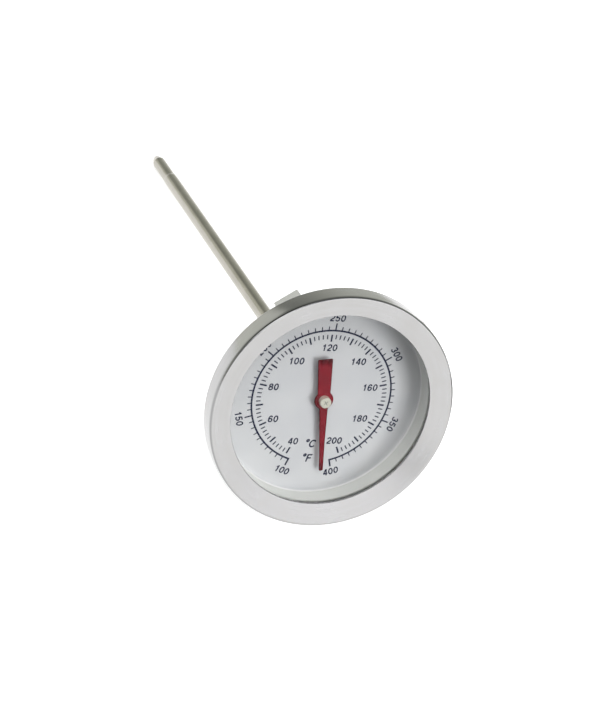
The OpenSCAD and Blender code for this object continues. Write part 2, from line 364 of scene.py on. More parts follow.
def rubber(name, colour, roughness):
    """Moulded silicone: a fine even grain from the mould, a little bloom and some dust."""
    finish = Finish(name, Specular_IOR_Level=0.4, Subsurface_Weight=0.1, Subsurface_Scale=0.0006)
    x, y, depth = finish.on_axis()
    where = finish.vector(x, y, depth)
    grain = finish.noise(where, 14.0, detail=3.0)
    bloom = finish.noise(where, 0.9, detail=4.0)
    pale = tuple(0.75 * c + 0.2 for c in colour)
    finish.feed("Base Color", finish.mix(finish.step(bloom, 0.4, 0.8, 0.0, 0.5), colour, pale))
    finish.feed("Roughness", roughness + (grain - 0.5) * 0.3)
    finish.bump(grain, 0.012, 0.6)
    return finish


SEAL_R = 4.9
seal = turned("ferrule_seal_moulded", [
    (CASE_HOLE, HEAD_DEPTH, 0.08),
    (SEAL_R, HEAD_DEPTH, 0.2),
    (SEAL_R, SHOULDER_FRONT, 0.2),
    (CASE_HOLE, SHOULDER_FRONT, 0.08),
], 128)
fit(seal, rubber("grey_silicone", (0.20, 0.20, 0.21), 0.55), "head", "gasket", "ferrule_seal")

pressed_steel = metal(
    "pressed_sheet_steel", (0.50, 0.51, 0.51), (0.38, 0.38, 0.38), 0.38, "both", 0.35, 0.004,
)


def refinish(node, finish):
    """Puts a finish on a CAD node that stays as it is."""
    frame["nodes"][node].data.materials.clear()
    frame["nodes"][node].data.materials.append(finish.material)


refinish("back_washer", pressed_steel)

# ---- Stem -----------------------------------------------------------------------------------
# Thin stainless tube, drawn and polished lengthwise, and swaged down a little over its sensing
# end. A solid nose is welded in and dressed to a blunt point.
STEM_R = 2.0
SENSING_R = 1.85
TUBE_WALL = 0.4
STEM_TOP = 11.6
SENSING_START = 147.5
SHOULDER = 161.2
STEM_END = 165.3

tube = turned("stem_tube_drawn", [
    (STEM_R, STEM_TOP, 0.08),
    (STEM_R, SENSING_START, 6.0),
    (SENSING_R, SENSING_START + 1, 6.0),
    (SENSING_R, SHOULDER, 0.04),
    (SENSING_R - TUBE_WALL, SHOULDER),
    (SENSING_R - TUBE_WALL, SENSING_START + 1),
    (STEM_R - TUBE_WALL, SENSING_START),
    (STEM_R - TUBE_WALL, STEM_TOP, 0.08),
], 96)
drawn_steel = metal(
    "drawn_stem_steel", (0.47, 0.45, 0.40), (0.34, 0.325, 0.28), 0.22, "long", 0.05, 0.0014,
)
fit(tube, drawn_steel, "head", "stem_steel", "stem_tube")

SPIGOT_R = SENSING_R - TUBE_WALL - 0.01
SPIGOT_LENGTH = 4.5
NOSE_FLAT_R = 0.97

nose = turned("stem_nose", [
    (0.0, SHOULDER - SPIGOT_LENGTH),
    (SPIGOT_R, SHOULDER - SPIGOT_LENGTH),
    (SPIGOT_R, SHOULDER),
    (SENSING_R, SHOULDER, 0.04),
    (NOSE_FLAT_R, STEM_END, 1.18),
    (0.0, STEM_END),
], 96)
nose_steel = metal("dressed_nose_steel", (0.58, 0.55, 0.50), (0.46, 0.44, 0.40), 0.30, "round", 0.06, 0.003)
fit(nose, nose_steel, "head", "stem_steel", "tip_plug")

# ---- Movement -------------------------------------------------------------------------------
# Inside the stem a strip of bimetal is wound into a helix. It is welded to a brass stub in the
# nose and to a brass collar on a steel shaft, which turns in brass bushes and carries the pointer.
brass = metal("turned_brass", (0.72, 0.50, 0.20), (0.56, 0.38, 0.15), 0.28, "round", 0.08, 0.003)
bimetal = metal("rolled_bimetal", (0.56, 0.42, 0.30), (0.42, 0.32, 0.24), 0.32, "round", 0.05, 0.002)
shaft_steel = metal(
    "ground_shaft_steel", (0.58, 0.58, 0.58), (0.52, 0.52, 0.52), 0.16, "round", 0.03, 0.001,
)
for node in ("helix_anchor", "helix_collar", "upper_bearing", "guide_bush_1", "guide_bush_2"):
    refinish(node, brass)
refinish("bimetal_helix", bimetal)
refinish("pointer_shaft", shaft_steel)

# ---- Dial and carrier -----------------------------------------------------------------------
# The dial is a shallow aluminium dish, pressed, enamelled a pale grey and screen-printed. It
# stands on a pressed steel ring, which is on the case's floor.
RIM_R = 24.4
RIM_INNER_R = 24.0
RIM_FRONT = 8.55
DIAL_DEPTH = 9.4

refinish("dial_carrier", pressed_steel)
dial = turned("dial_face", [
    (1.2, DIAL_DEPTH + 0.4),
    (1.2, DIAL_DEPTH, 0.05),
    (RIM_INNER_R, DIAL_DEPTH, 0.6),
    (RIM_INNER_R, RIM_FRONT, 0.08),
    (RIM_R, RIM_FRONT, 0.08),
    (RIM_R, DIAL_DEPTH + 0.4, 0.12),
])
enamel = Finish("pale_grey_enamel", Specular_IOR_Level=0.4)
x, y, depth = enamel.on_axis()
where = enamel.vector(x, y, depth)
mottle = enamel.noise(where, 0.12, detail=3.0)
peel = enamel.noise(where, 9.0, detail=2.0)
speck = enamel.step(enamel.noise(where, 5.0, detail=1.0), 0.72, 0.76)
shade = enamel.mix(enamel.step(mottle, 0.3, 0.7), (0.585, 0.592, 0.61), (0.625, 0.63, 0.64))
# Painted highlight: where the dial's rim curves up to its front, the enamel is mixed to near white, for the
# bright line that the rim shows.
rim_painted_highlight = enamel.step(depth, DIAL_DEPTH - 0.05, RIM_FRONT + 0.2)
shade = enamel.mix(rim_painted_highlight, shade, (0.92, 0.92, 0.91))
enamel.feed("Base Color", enamel.mix(speck * 0.25, shade, (0.45, 0.45, 0.48)))
enamel.feed("Roughness", 0.42 + (peel - 0.5) * 0.2)
enamel.bump(peel, 0.006, 0.5)
fit(dial, enamel, "head", "dial_face", "dial_plate")

# ---- Scales ---------------------------------------------------------------------------------
# Both scales are screen-printed in one navy ink. Degrees Celsius have their ticks inside a ring
# line, and degrees Fahrenheit stand on the line's outside.
ARC_R = 16.76
LINE_W = 0.42
PRINT_FRONT = DIAL_DEPTH - 0.02
PRINT_BACK = DIAL_DEPTH + 0.02
CELSIUS_TURN = 1.95
CELSIUS_TOP = 120.0

ink = Finish("navy_ink", Specular_IOR_Level=0.35)
x, y, depth = ink.on_axis()
where = ink.vector(x, y, depth)
screen = ink.noise(where, 16.0, detail=2.0)
wash = ink.noise(where, 0.7, detail=3.0)
ink.feed("Base Color", ink.mix(screen * 0.5 + wash * 0.5, (0.006, 0.008, 0.026), (0.018, 0.022, 0.058)))
ink.feed("Roughness", 0.40 + (screen - 0.5) * 0.3)
ink.bump(screen, 0.004, 0.6)


def celsius_angle(degrees):
    """Angle clockwise from 12 o'clock at which a temperature is read."""
    return np.radians((np.asarray(degrees, float) - CELSIUS_TOP) * CELSIUS_TURN)


def fahrenheit_angle(degrees):
    """The angle of the same temperature in degrees Celsius, five ninths of the degrees above 32."""
    return celsius_angle((np.asarray(degrees, float) - 32) * 5 / 9)


def ticks(angles, inner, outer, width):
    """Flat bars that point at the axis: each has eight corners, half its width to either side of its
    own radius, between two radii and between the print's front and back."""
    angles = np.asarray(angles, float)[:, None]
    side = np.array([-1, 1, 1, -1, -1, 1, 1, -1]) * width / 2
    reach = np.array([inner, inner, outer, outer, inner, inner, outer, outer])
    depth = np.array([PRINT_FRONT] * 4 + [PRINT_BACK] * 4)
    x = np.sin(angles) * reach + np.cos(angles) * side
    y = np.cos(angles) * reach - np.sin(angles) * side
    corners = place(x, y, depth[None]).reshape(-1, 3)
    box = np.array([(0, 1, 2, 3), (7, 6, 5, 4), (4, 5, 1, 0), (5, 6, 2, 1), (6, 7, 3, 2), (7, 4, 0, 3)])
    faces = (8 * np.arange(len(angles))[:, None, None] + box).reshape(-1, 4)
    return corners, faces


def bar(corners):
    """Corners and faces of a solid bar from a grid of points, four round its section at each place
    along it, with an end face at either end."""
    steps = len(corners)
    index = np.arange(4 * steps).reshape(steps, 4)
    nearer, further = index[:-1], index[1:]
    sides = np.stack([nearer, further, np.roll(further, -1, 1), np.roll(nearer, -1, 1)], -1)
    return corners.reshape(-1, 3), np.concatenate([sides.reshape(-1, 4), index[:1], index[-1:]])


def arc_line(start, end, radius, width, steps=240):
    """A flat curved bar: a four-cornered section, carried round the axis from one angle to another."""
    angle = np.linspace(start, end, steps)[:, None]
    reach = radius + np.array([-0.5, 0.5, 0.5, -0.5]) * width
    depth = np.array([PRINT_FRONT, PRINT_FRONT, PRINT_BACK, PRINT_BACK])
    return bar(place(np.sin(angle) * reach, np.cos(angle) * reach, depth[None]))


def printed(name, *parts):
    """One printed piece from several sets of corners and faces."""
    corners, faces, count = [], [], 0
    for points, quads in parts:
        corners.append(points)
        faces.append(quads + count)
        count += len(points)
    mesh = bpy.data.meshes.new(name)
    mesh.from_pydata(np.concatenate(corners), [], np.concatenate(faces))
    thing = closed(name, mesh, smooth=False)
    fit(thing, ink, "head", None)


celsius = np.arange(40, 201, 2)
printed(
    "celsius_ticks",
    ticks(celsius_angle(celsius[celsius % 10 != 0]), 14.64, 15.72, 0.27),
    ticks(celsius_angle(celsius[celsius % 10 == 0]), 14.0, 15.72, 0.40),
)
fahrenheit = np.arange(105, 400, 5)
ends = fahrenheit_angle([100, 400])
printed(
    "fahrenheit_ticks",
    ticks(fahrenheit_angle(fahrenheit[fahrenheit % 50 != 0]), ARC_R, 17.78, 0.24),
    ticks(fahrenheit_angle(fahrenheit[fahrenheit % 50 == 0]), ARC_R, 18.55, 0.33),
    ticks(ends, ARC_R - LINE_W / 2, 18.55, 0.40),
)
printed("scale_ring_line", arc_line(ends[0], ends[1], ARC_R, LINE_W))

# ---- Numerals -------------------------------------------------------------------------------
# The same ink, in plain slanted figures of one weight. Celsius numbers stand upright inside
# their scale, and Fahrenheit numbers follow the ring.
FIGURE_HEIGHT = 1.66
FIGURE_ADVANCE = 0.78
FIGURE_SLANT = 0.10
UNIT_HEIGHT = 1.95
UNIT_SLANT = 0.22
STROKE = 0.185


def bow(x, y, half_w, half_h, start, end):
    """Points of an ellipse's arc: its centre plus half its width times the cosine of the angle, and
    half its height times the sine."""
    angle = np.radians(np.linspace(start, end, 25))
    return np.stack([x + half_w * np.cos(angle), y + half_h * np.sin(angle)], -1)


def line(*points):
    """A stroke straight from point to point."""
    return np.array(points, float)


# Each figure is a list of pen strokes, in a box of height 1 that starts at its lower left corner.
FIGURES = {
    "0": [bow(0.33, 0.5, 0.25, 0.425, 90, 450)],
    "1": [
        line((0.40, 0.0), (0.40, 1.0)),
        line((0.14, 0.735), (0.25, 0.75), (0.33, 0.80), (0.385, 0.94)),
    ],
    "2": [
        np.concatenate([
            bow(0.33, 0.68, 0.24, 0.245, 172, -28),
            line((0.46, 0.46), (0.28, 0.32), (0.14, 0.20), (0.10, 0.10)),
        ]),
        line((0.05, 0.075), (0.61, 0.075)),
    ],
    "3": [bow(0.32, 0.71, 0.215, 0.215, 165, -90), bow(0.32, 0.285, 0.25, 0.21, 90, -165)],
    "4": [
        line((0.42, 0.96), (0.08, 0.31)),
        line((0.03, 0.295), (0.66, 0.295)),
        line((0.47, 0.0), (0.47, 1.0)),
    ],
    "5": [
        line((0.58, 0.925), (0.13, 0.925)),
        line((0.17, 0.97), (0.11, 0.46)),
        bow(0.31, 0.33, 0.255, 0.255, 142, -162),
    ],
    "6": [bow(0.33, 0.31, 0.24, 0.235, 90, 450), bow(0.34, 0.5, 0.25, 0.425, 33, 205)],
    "8": [bow(0.33, 0.725, 0.21, 0.20, 90, 450), bow(0.33, 0.295, 0.245, 0.22, 90, 450)],
    "C": [bow(0.43, 0.5, 0.34, 0.425, 38, 322)],
    "F": [
        line((0.12, 0.0), (0.12, 1.0)),
        line((0.12, 0.925), (0.64, 0.925)),
        line((0.12, 0.51), (0.58, 0.51)),
    ],
    "°": [bow(0.12, 0.90, 0.13, 0.13, 90, 450)],
}
ADVANCES = {"°": 0.42, "C": 0.86, "F": 0.70}


def pen(points, front):
    """A flat solid stroke: the points, moved half the pen's width to either side along the normal of
    the path, at the print's front and back."""
    ahead = np.gradient(points, axis=0)
    if np.allclose(points[0], points[-1]):
        ahead[0] = ahead[-1] = points[1] - points[-2]
    ahead /= np.linalg.norm(ahead, axis=1)[:, None]
    side = np.stack([-ahead[:, 1], ahead[:, 0]], -1) * STROKE / 2
    corners = np.stack([points - side, points + side, points + side, points - side], 1)
    depth = np.broadcast_to([front, front, PRINT_BACK, PRINT_BACK], corners.shape[:2])
    return np.concatenate([corners, depth[..., None]], -1)


def lettering(text, x, y, turn=0.0, height=FIGURE_HEIGHT, slant=FIGURE_SLANT):
    """Corners and faces of a text, centred on a point of the dial and turned clockwise. The strokes
    are set side by side, slanted, scaled to the height and then laid on the dial."""
    strokes, pen_x = [], 0.0
    for letter in text:
        for stroke in FIGURES[letter]:
            strokes.append(pen(stroke + (pen_x, 0.0), PRINT_FRONT - 0.003 * (len(strokes) % 4)))
        pen_x += ADVANCES.get(letter, FIGURE_ADVANCE)
    low = min(stroke[..., 0].min() for stroke in strokes)
    high = max(stroke[..., 0].max() for stroke in strokes)
    parts = []
    for stroke in strokes:
        across = (stroke[..., 0] - (low + high) / 2 + slant * (stroke[..., 1] - 0.5)) * height
        up = (stroke[..., 1] - 0.5) * height
        laid = place(
            x + across * math.cos(turn) + up * math.sin(turn),
            y - across * math.sin(turn) + up * math.cos(turn),
            stroke[..., 2],
        )
        parts.append(bar(laid))
    return parts


def numerals(name, labels):
    """One piece from a list of labels: text, place and turn, with a height and slant for the units."""
    printed(name, *[part for label in labels for part in lettering(*label)])


numerals("celsius_numbers", [
    ("40", -5.2, -11.25),
    ("60", -10.9, -5.5),
    ("80", -12.0, 2.6),
    ("100", -7.4, 9.1),
    ("120", 0.0, 12.5),
    ("140", 7.55, 9.05),
    ("160", 11.5, 2.5),
    ("180", 10.3, -5.45),
    ("200", 4.9, -11.15),
])
LABEL_R = 19.87
fahrenheit_labels = []
for number in range(100, 401, 50):
    angle = float(fahrenheit_angle(number))
    spot = (LABEL_R * math.sin(angle), LABEL_R * math.cos(angle))
    head_inward = number in (100, 150, 400)
    fahrenheit_labels.append((str(number), *spot, angle + math.pi * head_inward))
numerals("fahrenheit_numbers", fahrenheit_labels)
numerals("unit_marks", [
    ("°C", -0.9, -11.9, 0.0, UNIT_HEIGHT, UNIT_SLANT),
    ("°F", -1.2, -15.65, 0.0, UNIT_HEIGHT, UNIT_SLANT),
])

# ---- Pointer --------------------------------------------------------------------------------
# Stamped from thin sheet and enamelled red. A narrow needle and a broad square-ended tail meet
# at a slightly domed hub.
POINTER_AT = math.radians(173.2)
POINTER_FRONT = 7.7
POINTER_T = 0.25
POINTER_BACK = POINTER_FRONT + POINTER_T
EDGE_ROUNDING = 0.05
HUB_R = 2.1
HUB_HOLE = 0.81
FACE_DROP = 0.06
NEEDLE = [(-0.92, 0.0), (-0.45, 11.6), (-0.3, 18.1), (0.3, 18.1), (0.45, 11.6), (0.92, 0.0)]
TAIL_HALF = 1.6
TAIL_REACH = 10.2
TAIL = [(1.3, 0.0), (TAIL_HALF, -TAIL_REACH), (-TAIL_HALF, -TAIL_REACH), (-1.3, 0.0)]


def edge_reach(angle, corners):
    """How far from the hub's centre an outline lies at each angle: the nearest crossing of a ray at
    that angle with the outline's sides."""
    corners = np.array(corners, float)
    nexts = np.roll(corners, -1, axis=0)
    ray = np.stack([np.sin(angle), np.cos(angle)], -1)[:, None]
    side = (nexts - corners)[None]
    cross = ray[..., 0] * side[..., 1] - ray[..., 1] * side[..., 0]
    with np.errstate(divide="ignore", invalid="ignore"):
        reach = (corners[None, :, 0] * side[..., 1] - corners[None, :, 1] * side[..., 0]) / cross
        share = (corners[None, :, 0] * ray[..., 1] - corners[None, :, 1] * ray[..., 0]) / cross
    good = (reach > 1e-6) & (share > -1e-9) & (share < 1 + 1e-9)
    return np.where(good, reach, 0).max(1)


def corner_angles(corners):
    """Angles of an outline's corners, clockwise from 12 o'clock."""
    corners = np.array(corners, float)
    return np.arctan2(corners[:, 0], corners[:, 1])


spread = np.linspace(-np.pi, np.pi, 360, endpoint=False)
fine_needle = np.linspace(-0.09, 0.09, 81)
fine_tail = math.pi + np.linspace(-1.4, 1.4, 41) * math.atan2(TAIL_HALF, TAIL_REACH)
bends = np.concatenate([spread, fine_needle, fine_tail, corner_angles(NEEDLE), corner_angles(TAIL)])
bends = np.unique(np.round(np.mod(bends + np.pi, 2 * np.pi) - np.pi, 9))
outline_r = np.maximum(np.maximum(edge_reach(bends, NEEDLE), edge_reach(bends, TAIL)), HUB_R)
across = outline_r * np.sin(bends)
along = outline_r * np.cos(bends)
share = np.array([0.0, 0.06, 0.15, 0.3, 0.5, 0.75])[:, None]
hole_x = HUB_HOLE * np.sin(bends)
hole_y = HUB_HOLE * np.cos(bends)
flat_x = hole_x + share * (across - hole_x)
flat_y = hole_y + share * (along - hole_y)
outward = np.stack([across, along], -1)
tangent = np.roll(outward, -1, 0) - np.roll(outward, 1, 0)
inward = np.stack([-tangent[:, 1], tangent[:, 0]], -1)
inward /= np.linalg.norm(inward, axis=1)[:, None]
rim_x = across + inward[:, 0] * EDGE_ROUNDING
rim_y = along + inward[:, 1] * EDGE_ROUNDING
guard_x = across + inward[:, 0] * 3 * EDGE_ROUNDING
guard_y = along + inward[:, 1] * 3 * EDGE_ROUNDING
radius = np.hypot(flat_x, flat_y)
drop = FACE_DROP * np.clip((radius - HUB_HOLE) / (HUB_R - HUB_HOLE), 0, 1) ** 2
ones = np.ones(len(bends))
blade_x = np.array([*flat_x, guard_x, rim_x, across, across, rim_x, guard_x, *flat_x[::-1]])
blade_y = np.array([*flat_y, guard_y, rim_y, along, along, rim_y, guard_y, *flat_y[::-1]])
blade_depth = np.array([
    *(POINTER_FRONT + drop),
    ones * (POINTER_FRONT + FACE_DROP),
    ones * (POINTER_FRONT + FACE_DROP),
    ones * (POINTER_FRONT + FACE_DROP + EDGE_ROUNDING),
    ones * (POINTER_BACK - EDGE_ROUNDING),
    ones * POINTER_BACK,
    ones * POINTER_BACK,
    *np.full(flat_x.shape, POINTER_BACK),
])
cosine = math.cos(POINTER_AT)
sine = math.sin(POINTER_AT)
pointer = solid("pointer_blade", place(
    blade_x * cosine + blade_y * sine,
    blade_y * cosine - blade_x * sine,
    blade_depth,
))

red = Finish("red_enamel", Specular_IOR_Level=0.25, Coat_Weight=0.08, Coat_Roughness=0.15)
x, y, depth = red.on_axis()
where = red.vector(x, y, depth)
peel = red.noise(where, 5.0, detail=2.0)
cloud = red.noise(where, 0.5, detail=3.0)
shade = red.mix(red.step(cloud, 0.35, 0.65), (0.165, 0.005, 0.013), (0.22, 0.008, 0.018))
red.feed("Base Color", red.mix(peel * 0.3, shade, (0.30, 0.02, 0.03)))
red.feed("Roughness", 0.36 + (peel - 0.5) * 0.25)
red.bump(peel, 0.02, 0.6)
fit(pointer, red, "movement", "pointer_red", "pointer")

# ---- Pointer's bush -------------------------------------------------------------------------
# A turned aluminium bush is riveted to the hub and pressed on the shaft. Its end is staked with
# a small cross.
BUSH_FRONT = 6.2
BUSH_R = 1.3
BUSH_NECK_R = 0.8
BUSH_FOOT_R = 1.2
BUSH_BORE = 0.51
BUSH_FOOT = 0.5
BUSH_END = 0.19
STAKE_TURN = 0.6
STAKE_HALF_WIDTH = 0.11
STAKE_REACH = 0.62
STAKE_DEPTH = 0.13

top_radius = np.linspace(0, BUSH_R - 0.35, 16)
bush_line = np.concatenate([
    np.stack([top_radius, np.full(16, BUSH_FRONT)], -1),
    rounded([
        (BUSH_R, BUSH_FRONT, 0.15),
        (BUSH_R, POINTER_FRONT, 0.03),
        (BUSH_NECK_R, POINTER_FRONT),
        (BUSH_NECK_R, POINTER_BACK),
        (BUSH_FOOT_R, POINTER_BACK, 0.03),
        (BUSH_FOOT_R, POINTER_BACK + BUSH_FOOT, 0.1),
        (BUSH_BORE, POINTER_BACK + BUSH_FOOT),
        (BUSH_BORE, BUSH_FRONT + BUSH_END),
        (0.0, BUSH_FRONT + BUSH_END),
    ]),
])
angle = np.linspace(0, 2 * np.pi, 128, endpoint=False)
bush_x = bush_line[:, :1] * np.cos(angle)
bush_y = bush_line[:, :1] * np.sin(angle)


def stake_mark(across, along):
    """One arm of the cross: 1 on its middle line, falling as the exponential of the fourth power of
    the way off it, and nothing past its reach."""
    return np.exp(-(across / STAKE_HALF_WIDTH) ** 4) * (np.abs(along) < STAKE_REACH)


stake_x = bush_x * math.cos(STAKE_TURN) + bush_y * math.sin(STAKE_TURN)
stake_y = bush_y * math.cos(STAKE_TURN) - bush_x * math.sin(STAKE_TURN)
cross = np.minimum(stake_mark(stake_x, stake_y) + stake_mark(stake_y, stake_x), 1)
on_top = (bush_line[:, 1:] < BUSH_FRONT + 1e-6) & (bush_line[:, :1] < BUSH_R - 0.3)
bush_depth = bush_line[:, 1:] + STAKE_DEPTH * cross * on_top
bush = solid("pointer_bush_turned", place(bush_x, bush_y, bush_depth))
bush_metal = Finish("pale_bush_metal", Metallic=0.55)
x, y, depth = bush_metal.on_axis()
where = bush_metal.vector(x, y, depth)
radius = (x * x + y * y) ** 0.5
rings = bush_metal.noise(bush_metal.vector(radius * 14.0, depth * 14.0, 0.0), 1.0, detail=2.0)
dirt = bush_metal.noise(where, 2.2, detail=3.0)
# Painted shade: the staked cross sunk in the bush's end is mixed towards dark grey, for the shade in its
# grooves.
groove_painted_shade = bush_metal.step(depth, BUSH_FRONT + 0.02, BUSH_FRONT + 0.12) * bush_metal.step(radius, 1.1, 0.9)
shade = bush_metal.mix(bush_metal.step(dirt, 0.4, 0.75, 0.0, 0.5), (0.86, 0.84, 0.72), (0.66, 0.64, 0.55))
bush_metal.feed("Base Color", bush_metal.mix(groove_painted_shade * 0.75, shade, (0.30, 0.30, 0.28)))
bush_metal.feed("Roughness", 0.38 + (rings - 0.5) * 0.3)
bush_metal.bump(rings, 0.008, 0.6)
fit(bush, bush_metal, "movement", "bush_metal", "pointer_bush")

# ---- Spacer wall ----------------------------------------------------------------------------
# A ring of bright sheet, rolled and butted, holds the glass off the dial's rim. Its inside is
# what shows round the dial.
LENS_BACK = 4.1
wall = turned("spacer_wall", [
    (RIM_INNER_R, LENS_BACK, 0.08),
    (RIM_R, LENS_BACK, 0.08),
    (RIM_R, RIM_FRONT, 0.08),
    (RIM_INNER_R, RIM_FRONT, 0.08),
])
wall_steel = metal(
    "brushed_wall_steel", (0.86, 0.86, 0.83), (0.72, 0.73, 0.69), 0.36, "round", 0.09, 0.006, metallic=0.15,
)
fit(wall, wall_steel, "head", "wall_steel", "spacer_ring")

# ---- Glass and gasket -----------------------------------------------------------------------
# A disc of clear float glass with arrised edges sits in a soft silicone channel.
LENS_R = 27.4
LENS_FRONT = 2.3
SEAT_R = 24.5
lens = turned("glass_disc", [
    (0.0, LENS_FRONT), (LENS_R, LENS_FRONT, 0.2), (LENS_R, LENS_BACK, 0.2), (0.0, LENS_BACK),
])
glass = Finish(
    "clear_glass", Transmission_Weight=1.0, IOR=1.5, Roughness=0.0, Specular_Tint=(0.12, 0.12, 0.13, 1.0),
)
x, y, depth = glass.on_axis()
where = glass.vector(x, y, depth)
smear = glass.noise(where, 0.25, detail=4.0)
dust = glass.step(glass.noise(where, 6.0, detail=2.0), 0.74, 0.8)
tint = glass.mix(glass.step(smear, 0.4, 0.7), (0.985, 0.99, 0.99), (0.97, 0.98, 0.98))
glass.feed("Base Color", glass.mix(dust * 0.4, tint, (0.85, 0.86, 0.86)))
fit(lens, glass, "head", "glass", "lens")
lens.visible_shadow = False

GASKET_R = 28.25
GASKET_RIM_FRONT = 0.667
GASKET_LIP_FRONT = 1.849

gasket = turned("lens_gasket_moulded", [
    (SEAT_R, LENS_FRONT, 0.03),
    (LENS_R, LENS_FRONT),
    (LENS_R, LENS_BACK),
    (CASE_R, LENS_BACK, 0.03),
    (CASE_R, FLANGE_FRONT, 0.03),
    (GASKET_R, FLANGE_FRONT, 0.1),
    (GASKET_R, GASKET_RIM_FRONT, 0.05),
    (SEAT_R, GASKET_LIP_FRONT, 0.1),
])
fit(gasket, rubber("pale_silicone", (0.62, 0.62, 0.60), 0.5), "head", "gasket", "lens_gasket")

# ---- Bezel ----------------------------------------------------------------------------------
# The front ring is spun from bright stainless sheet. Its broad face slopes in to the window, its
# outer edge is rolled round, and its lip is crimped in behind the case's flange.
BEZEL_R = 28.9
BEZEL_DEPTH = 5.5
BEZEL_SHEET = 0.6
WINDOW_R = 23.7
CROWN = 0.1
CROWN_FRONT = 0.7
CROWN_BACK = 4.0
LIP_REACH = 2.7

# The side bows in by the crown towards the face, as the square of the way from the crown's back.
crown_depth = np.linspace(CROWN_FRONT, CROWN_BACK, 12)
crown_radius = BEZEL_R - CROWN * ((CROWN_BACK - crown_depth) / (CROWN_BACK - CROWN_FRONT)) ** 2
bezel = turned("bezel_spun", [
    (WINDOW_R, 1.45, 0.14),
    (BEZEL_R - CROWN + 0.02, -0.17, 0.5),
    *zip(crown_radius[1:], crown_depth[1:]),
    (BEZEL_R, BEZEL_DEPTH, 0.5),
    (BEZEL_R - LIP_REACH, BEZEL_DEPTH, 0.12),
    (BEZEL_R - LIP_REACH, BEZEL_DEPTH - BEZEL_SHEET, 0.12),
    (BEZEL_R - BEZEL_SHEET, BEZEL_DEPTH - BEZEL_SHEET),
    (BEZEL_R - BEZEL_SHEET - 0.2, 0.67),
    (WINDOW_R, 2.08, 0.12),
], 320)
# The rolled edge is given a smoother finish than the rest. Its front is also painted a darker grey, to part
# the face from the side: painted shade, standing in for the dark line that the rounded edge reflects.
RIM_PAINTED_SHADE_GREY = (0.28, 0.28, 0.28)
bezel_steel = metal(
    "spun_bezel_steel", (0.45, 0.45, 0.46), (0.40, 0.395, 0.39), 0.25, "round", 0.07, 0.0015,
)
x, y, depth = bezel_steel.on_axis()
rolled = bezel_steel.step((x * x + y * y) ** 0.5, BEZEL_R - 0.6, BEZEL_R - 0.3)
bezel_steel.feed("Roughness", bezel_steel.rubbed * (1 - 0.35 * rolled))
# Painted shade: the front of the rolled edge is mixed towards a darker grey, for the dark reflected line
# beside its highlight.
rim_painted_shade = rolled * (1 - bezel_steel.step(depth, 0.5, 1.3))
bezel_steel.feed("Base Color", bezel_steel.mix(rim_painted_shade, bezel_steel.tone, RIM_PAINTED_SHADE_GREY))
fit(bezel, bezel_steel, "head", "bezel_steel", "bezel_ring")

# ---- Sleeve of the clip ---------------------------------------------------------------------
# A split tube of spring steel grips the stem by friction. A rolled rim at each end keeps the
# clip's eye from sliding off it.
CLIP_DEPTH = 33.9
CLIP_TURN = math.radians(34.7)
SLEEVE_START = 33.2
SLEEVE_LENGTH = 15.6
SLEEVE_BORE = 2.05
SLEEVE_R = 2.4
SLEEVE_RIM_R = 2.85
SLEEVE_RIM = 0.4
SLEEVE_END = SLEEVE_START + SLEEVE_LENGTH
SLIT = 0.6
SLIT_AT_R = 2.3
SLIT_HALF_TURN = SLIT / 2 / SLIT_AT_R


def on_clip(x, y, along):
    """Points of the clip's own frame: x along its plate, y out of it, and along the stem towards
    the head, from the head's end of its eye."""
    return place(
        x * math.cos(CLIP_TURN) - y * math.sin(CLIP_TURN),
        x * math.sin(CLIP_TURN) + y * math.cos(CLIP_TURN),
        CLIP_DEPTH - along,
    )


section = rounded([
    (SLEEVE_BORE, SLEEVE_START, 0.08),
    (SLEEVE_RIM_R, SLEEVE_START, 0.15),
    (SLEEVE_RIM_R, SLEEVE_START + SLEEVE_RIM, 0.15),
    (SLEEVE_R, SLEEVE_START + SLEEVE_RIM, 0.1),
    (SLEEVE_R, SLEEVE_END - SLEEVE_RIM, 0.1),
    (SLEEVE_RIM_R, SLEEVE_END - SLEEVE_RIM, 0.15),
    (SLEEVE_RIM_R, SLEEVE_END, 0.15),
    (SLEEVE_BORE, SLEEVE_END, 0.08),
])
sweep = -math.pi / 2 + np.linspace(SLIT_HALF_TURN, 2 * np.pi - SLIT_HALF_TURN, 121)
sleeve_points = on_clip(
    section[:, :1] * np.cos(sweep), section[:, :1] * np.sin(sweep), CLIP_DEPTH - section[:, 1:],
)
rows, columns = sleeve_points.shape[:2]
index = np.arange(rows * columns).reshape(rows, columns)
across_rows = np.roll(index, -1, axis=0)
quads = np.stack([index[:, :-1], across_rows[:, :-1], across_rows[:, 1:], index[:, 1:]], -1).reshape(-1, 4)
sleeve_mesh = bpy.data.meshes.new("clip_sleeve_split")
sleeve_mesh.from_pydata(
    sleeve_points.reshape(-1, 3), [], [*quads.tolist(), index[:, 0].tolist(), index[:, -1].tolist()],
)
sleeve = closed("clip_sleeve_split", sleeve_mesh)
spring_steel = metal(
    "bright_spring_steel", (0.90, 0.90, 0.88), (0.76, 0.76, 0.74), 0.38, "both", 0.5, 0.002, metallic=0.6,
)
fit(sleeve, spring_steel, "grip", "clip_steel", "clip_sleeve")

# ---- Pan clip -------------------------------------------------------------------------------
# One strip of bright spring steel: a rolled eye, a flat plate, a hairpin bend at the head's end
# and a leaf with a turned-out lip. It is bent from one flat blank, so it is one folded surface.
EYE_R = 2.47
CLIP_SHEET = 0.6
CLIP_GAP = 7.0
PLATE_REACH = 9.9
EYE_LENGTH = 14.2
EYE_OPENING = 0.9
PLATE_LENGTH = 18.3
PLATE_START = 3.2
LEAF_START = 3.9
LEAF_LENGTH = 14.0
LIP_TURN = math.radians(50)
LIP_R = 2.0
middle_r = EYE_R + CLIP_SHEET / 2
bend_r = (CLIP_GAP + CLIP_SHEET) / 2
eye_sweep = 1.5 * math.pi - math.asin(EYE_OPENING / middle_r)


